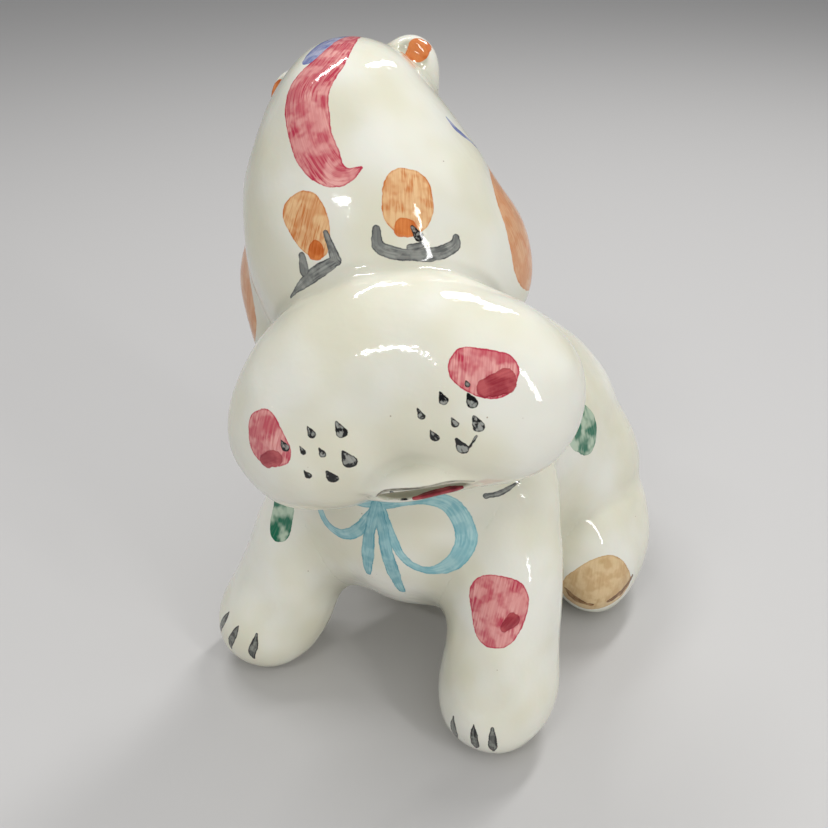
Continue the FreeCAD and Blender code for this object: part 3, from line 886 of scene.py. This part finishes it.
def make_glaze():
    """Warm white glazed earthenware with painted marks and painted shade in its creases, and bare clay where
    there is no glaze.
    """
    nodes = Nodes("painted_glaze")
    place = nodes.add("ShaderNodeTexCoord", output=3)
    cloud = nodes.ramp(nodes.noise(place, 38, 2), 0.35, 0.65)
    body = nodes.blend(GLAZE_DEEP, GLAZE_PALE, cloud)
    # Painted shade: the deeper a point lies in a crease, the more the glaze darkens towards the crease shade
    # colour, which also stands for glaze pooled there.
    hollow = nodes.ramp(nodes.number("crease"), 0.03, 0.5)
    body = nodes.blend(body, CREASE_SHADE_AND_POOLED_GLAZE, nodes.sum("MULTIPLY", hollow, 0.75))
    speck = nodes.add("ShaderNodeTexVoronoi", {"Vector": place, "Scale": 150.0})
    sparse = nodes.ramp(nodes.noise(place, 95, 0), 0.56, 0.62)
    speck = nodes.sum("MULTIPLY", nodes.ramp(speck, 0.04, 0.02), sparse)
    body = nodes.blend(body, IRON_SPECK, nodes.sum("MULTIPLY", speck, 0.7))
    for layer, look in PAINTS.items():
        body = paint_over(nodes, body, place, layer, **look)
    grain = nodes.noise(place, 1600, 3, 0.7)
    clay = nodes.blend(CLAY, tuple(0.78 * part for part in CLAY), nodes.ramp(grain, 0.3, 0.7))
    height = nodes.add("ShaderNodeSeparateXYZ", {0: place}, output=2)
    # No glaze under the feet, with an uneven edge, nor inside the bank.
    foot = nodes.ramp(nodes.sum("MULTIPLY_ADD", nodes.noise(place, 300, 1), -0.0008, height), 0.0004, -0.0001)
    bare = nodes.sum("MAXIMUM", nodes.ramp(nodes.number("buried"), 0.7, 1.3), foot)
    nodes.put(nodes.shader.inputs["Base Color"], nodes.blend(body, clay, bare))
    nodes.put(nodes.shader.inputs["Roughness"], nodes.ramp(bare, 0.0, 1.0, 0.07, 0.85))
    nodes.put(nodes.shader.inputs["IOR"], 1.52)
    nodes.put(nodes.shader.inputs["Subsurface Weight"], 0.08)
    nodes.put(nodes.shader.inputs["Subsurface Scale"], 0.0015)
    ripple = nodes.sum("MULTIPLY", nodes.noise(place, 170, 2), 0.8)
    ripple = nodes.sum("MULTIPLY_ADD", nodes.noise(place, 520, 1), 0.15, ripple)
    rough = nodes.sum("MULTIPLY_ADD", nodes.sum("MULTIPLY", grain, bare), 0.5, ripple)
    bump = nodes.add("ShaderNodeBump", {"Strength": 0.25, "Distance": 0.0008, "Height": rough})
    nodes.put(nodes.shader.inputs["Normal"], bump)
    return nodes.material


def make_rubber():
    """Matt off-white rubber, dusty, with a fine moulded grain."""
    nodes = Nodes("soft_rubber")
    place = nodes.add("ShaderNodeTexCoord", output=3)
    dust = nodes.ramp(nodes.noise(place, 90, 4, 0.6), 0.35, 0.7)
    grain = nodes.noise(place, 2400, 2)
    tint = nodes.blend(RUBBER, RUBBER_DUSTY, dust)
    tint = nodes.blend(tint, RUBBER_PORE, nodes.ramp(grain, 0.6, 0.75))
    nodes.put(nodes.shader.inputs["Base Color"], tint)
    nodes.put(nodes.shader.inputs["Roughness"], nodes.ramp(dust, 0.0, 1.0, 0.48, 0.68))
    bump = nodes.add("ShaderNodeBump", {"Strength": 0.3, "Distance": 0.0002, "Height": grain})
    nodes.put(nodes.shader.inputs["Normal"], bump)
    return nodes.material


glaze = make_glaze()
for casting in castings.values():
    casting.data.materials.append(glaze)

stopper = frame["nodes"]["stopper"]
stopper.data.materials.clear()
stopper.data.materials.append(make_rubber())


# ---- stage ----


def make_stage():
    """A flat pale floor that runs on out of sight."""
    mesh = bpy.data.meshes.new("floor")
    half = 30.0
    mesh.from_pydata(
        [(-half, -half, 0), (half, -half, 0), (half, half, 0), (-half, half, 0)], [], [(0, 1, 2, 3)]
    )
    floor = bpy.data.objects.new("floor", mesh)
    bpy.context.scene.collection.objects.link(floor)
    paint = bpy.data.materials.new("floor_paint")
    paint.use_nodes = True
    paint.node_tree.nodes["Principled BSDF"].inputs["Base Color"].default_value = (*FLOOR, 1)
    paint.node_tree.nodes["Principled BSDF"].inputs["Roughness"].default_value = 0.6
    floor.data.materials.append(paint)


def aim(item, place, target):
    """Puts a light or camera at a place, looking at the target."""
    item.location = place
    item.rotation_euler = (Vector(target) - Vector(place)).to_track_quat("-Z", "Y").to_euler()


def make_light(name, place, size, power, mirrored=True):
    """A soft light aimed at the figure, in metres and watts. Unless mirrored, it leaves no highlight."""
    lamp = bpy.data.lights.new(name, "AREA")
    lamp.shape = "RECTANGLE"
    lamp.size, lamp.size_y = size
    lamp.energy = power
    item = bpy.data.objects.new(name, lamp)
    bpy.context.scene.collection.objects.link(item)
    item.visible_glossy = mirrored
    aim(item, place, (0, 0, 0.1))


def make_camera():
    """The viewing angle: a little to the animal's left, looking down at it."""
    azimuth, elevation, distance = math.radians(25.3), math.radians(30.5), 0.330
    target = Vector((-0.0086, -0.0069, 0.0769))
    back = Vector((
        math.sin(azimuth) * math.cos(elevation),
        -math.cos(azimuth) * math.cos(elevation),
        math.sin(elevation),
    ))
    camera = bpy.data.objects.new("camera", bpy.data.cameras.new("camera"))
    bpy.context.scene.collection.objects.link(camera)
    camera.data.sensor_width = 36
    camera.data.lens = 45.65
    camera.data.clip_start = 0.01
    aim(camera, target + distance * back, target)
    bpy.context.scene.camera = camera


def make_world():
    """Even soft light from all round, dimmer where the glaze mirrors it."""
    world = bpy.data.worlds.new("world")
    world.use_nodes = True
    tree = world.node_tree
    shade = tree.nodes["Background"]
    shade.inputs["Color"].default_value = (*DAYLIGHT, 1)
    path = tree.nodes.new("ShaderNodeLightPath")
    strength = tree.nodes.new("ShaderNodeMapRange")
    strength.inputs["To Min"].default_value = DAYLIGHT_STRENGTH
    strength.inputs["To Max"].default_value = MIRRORED_STRENGTH
    tree.links.new(path.outputs["Is Glossy Ray"], strength.inputs["Value"])
    tree.links.new(strength.outputs["Result"], shade.inputs["Strength"])
    bpy.context.scene.world = world


make_stage()
make_camera()
make_light("left_strip", (-0.42, 0.2, 0.95), (0.5, 0.05), 2.6)
make_light("back_strip", (0.10, 0.6, 0.85), (0.09, 0.5), 3.4)
make_light("front_strip", (-0.02, -0.78, 0.77), (0.24, 0.035), 1.2)
make_light("right_strip", (0.75, -0.35, 0.55), (0.05, 0.5), 1.6)
make_light("overhead", (0.3, -0.2, 1.1), (1.0, 1.0), 2.5, mirrored=False)
make_light("fill", (0.6, -0.85, 0.3), (0.8, 0.8), 1.9, mirrored=False)
make_world()
bpy.context.scene.view_settings.view_transform = "Standard"

bpy.context.view_layer.update()
